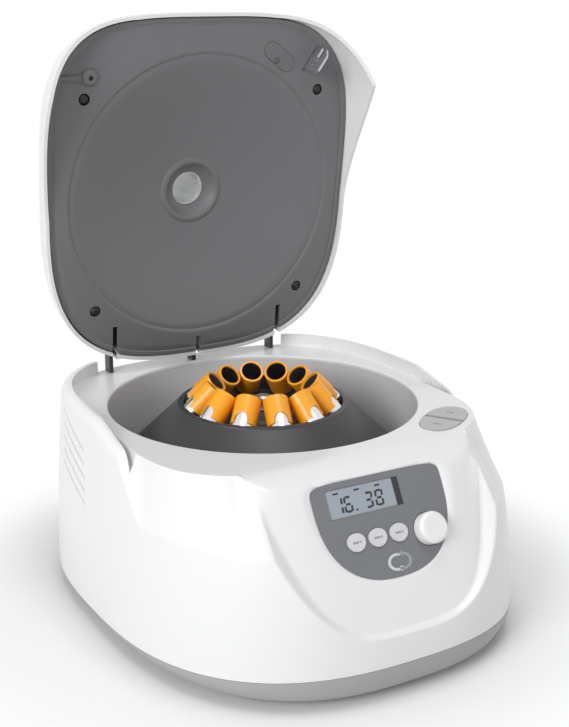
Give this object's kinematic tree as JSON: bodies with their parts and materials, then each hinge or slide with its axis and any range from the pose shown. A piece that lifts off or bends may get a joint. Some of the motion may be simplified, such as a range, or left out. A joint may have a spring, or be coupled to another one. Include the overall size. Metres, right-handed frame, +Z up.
{
  "type": "bench centrifuge",
  "caption": "White bench centrifuge with an open domed lid, round chamber, dark cone-shaped fixed-angle rotor with slanting tubes in orange sleeves, and a sunk control panel.",
  "frame": {"origin": "middle of the object's box on the bench, with the lid open as pictured", "axes": "+Z up, -Y towards the control panel, +X to the right of someone who faces the control panel"},
  "size_m": [0.295, 0.3799, 0.4239],
  "materials": {
    "grey_tray": "fine satin grain",
    "foot_rubber": "matte",
    "screw_steel": "plain",
    "white_housing": "semi-gloss white",
    "bowl_steel": "satin",
    "seal_rubber": "matte",
    "plate_steel": "zinc plated",
    "motor_paint": "dark satin",
    "cast_cover": "cast",
    "bearing_steel": "polished",
    "winding_copper": "varnished copper",
    "shaft_steel": "ground",
    "rotor_aluminium": "dark anodised",
    "shield_steel": "bright satin",
    "orange_plastic": "orange",
    "nut_steel": "plain",
    "lining_grey": "fine grain",
    "dark_screw": "black oxide",
    "clear_window": "clear",
    "cover_grey": "satin",
    "post_steel": "dark satin",
    "panel_grey": "printed film, satin",
    "display_face": "display under a clear face",
    "board_green": "circuit board",
    "key_grey": "satin",
    "knob_white": "semi-gloss",
    "dark_plastic": "fine grain",
    "button_grey": "satin",
    "spring_steel": "plain",
    "pin_brass": "plain"
  },
  "bodies": {
    "housing": {"base_pan": "grey_tray", "rubber_feet": "foot_rubber", "pan_screws": "screw_steel", "upper_housing": "white_housing", "rotor_bowl": "bowl_steel", "bowl_screws": "screw_steel", "shaft_seal": "seal_rubber", "motor_dampers": "seal_rubber", "motor_plate": "plate_steel", "motor_can": "motor_paint", "motor_cover": "cast_cover", "motor_bearings": "bearing_steel", "hinge_posts": "post_steel", "control_panel": "panel_grey", "display_window": "display_face", "display_module": "board_green", "control_board": "board_green", "knob_encoder": "dark_plastic", "release_spring_rear": "spring_steel", "release_spring_front": "spring_steel", "latch_frame": "plate_steel", "latch_solenoid": "winding_copper", "power_board": "board_green", "power_inlet": "dark_plastic", "inlet_pins": "pin_brass", "power_switch": "dark_plastic"},
    "rotor": {"drive_shaft": "shaft_steel", "motor_armature": "winding_copper", "rotor": "rotor_aluminium", "tube_shields": "shield_steel", "tube_sleeves": "orange_plastic", "rotor_nut": "nut_steel"},
    "lid": {"lid_shell": "white_housing", "lid_lining": "lining_grey", "lid_screws": "dark_screw", "sight_tube": "white_housing", "sight_glass": "clear_window", "lining_cover": "cover_grey", "latch_hook": "plate_steel", "lid_bumper": "cover_grey", "hinge_pins": "bearing_steel"},
    "left_key": {"key_left": "key_grey"},
    "middle_key": {"key_middle": "key_grey"},
    "right_key": {"key_right": "key_grey"},
    "knob": {"setting_knob": "knob_white"},
    "rear_release": {"release_button_rear": "button_grey"},
    "front_release": {"release_button_front": "button_grey"},
    "bolt": {"latch_bolt": "shaft_steel"},
    "rocker": {"switch_rocker": "dark_plastic"}
  },
  "joints": [
    {"name": "lid_hinge", "type": "hinge", "parent": "housing", "child": "lid", "pos_m": [0, 0.1374, 0.1627], "axis": [1, 0, 0], "range_deg": [0, 83.5]},
    {"name": "rotor_spin", "type": "hinge", "parent": "housing", "child": "rotor", "pos_m": [0, 0.0141, 0.143], "axis": [0, 0, 1], "continuous": true},
    {"name": "knob_turn", "type": "hinge", "parent": "housing", "child": "knob", "pos_m": [0.03, -0.15735, 0.09811], "axis": [0, -0.866, 0.5], "continuous": true},
    {"name": "left_key_press", "type": "slide", "parent": "housing", "child": "left_key", "axis": [0, 0.866, -0.5], "range_m": [0, 0.0008], "stiffness_N_per_m": 900, "springref_m": -0.0006},
    {"name": "middle_key_press", "type": "slide", "parent": "housing", "child": "middle_key", "axis": [0, 0.866, -0.5], "range_m": [0, 0.0008], "stiffness_N_per_m": 900, "springref_m": -0.0006},
    {"name": "right_key_press", "type": "slide", "parent": "housing", "child": "right_key", "axis": [0, 0.866, -0.5], "range_m": [0, 0.0008], "stiffness_N_per_m": 900, "springref_m": -0.0006},
    {"name": "rear_release_press", "type": "slide", "parent": "housing", "child": "rear_release", "axis": [0, 0, -1], "range_m": [0, 0.0025], "stiffness_N_per_m": 700, "springref_m": -0.001, "deforming": ["release_spring_rear"]},
    {"name": "front_release_press", "type": "slide", "parent": "housing", "child": "front_release", "axis": [0, 0, -1], "range_m": [0, 0.0025], "stiffness_N_per_m": 700, "springref_m": -0.001, "deforming": ["release_spring_front"]},
    {"name": "bolt_slide", "type": "slide", "parent": "housing", "child": "bolt", "axis": [-0.8329, -0.5534, 0], "range_m": [0, 0.005], "stiffness_N_per_m": 150, "springref_m": -0.001},
    {"name": "rocker_tilt", "type": "hinge", "parent": "housing", "child": "rocker", "pos_m": [-0.062, 0.1521, 0.04], "axis": [1, 0, 0], "range_deg": [0, 14]}
  ]
}
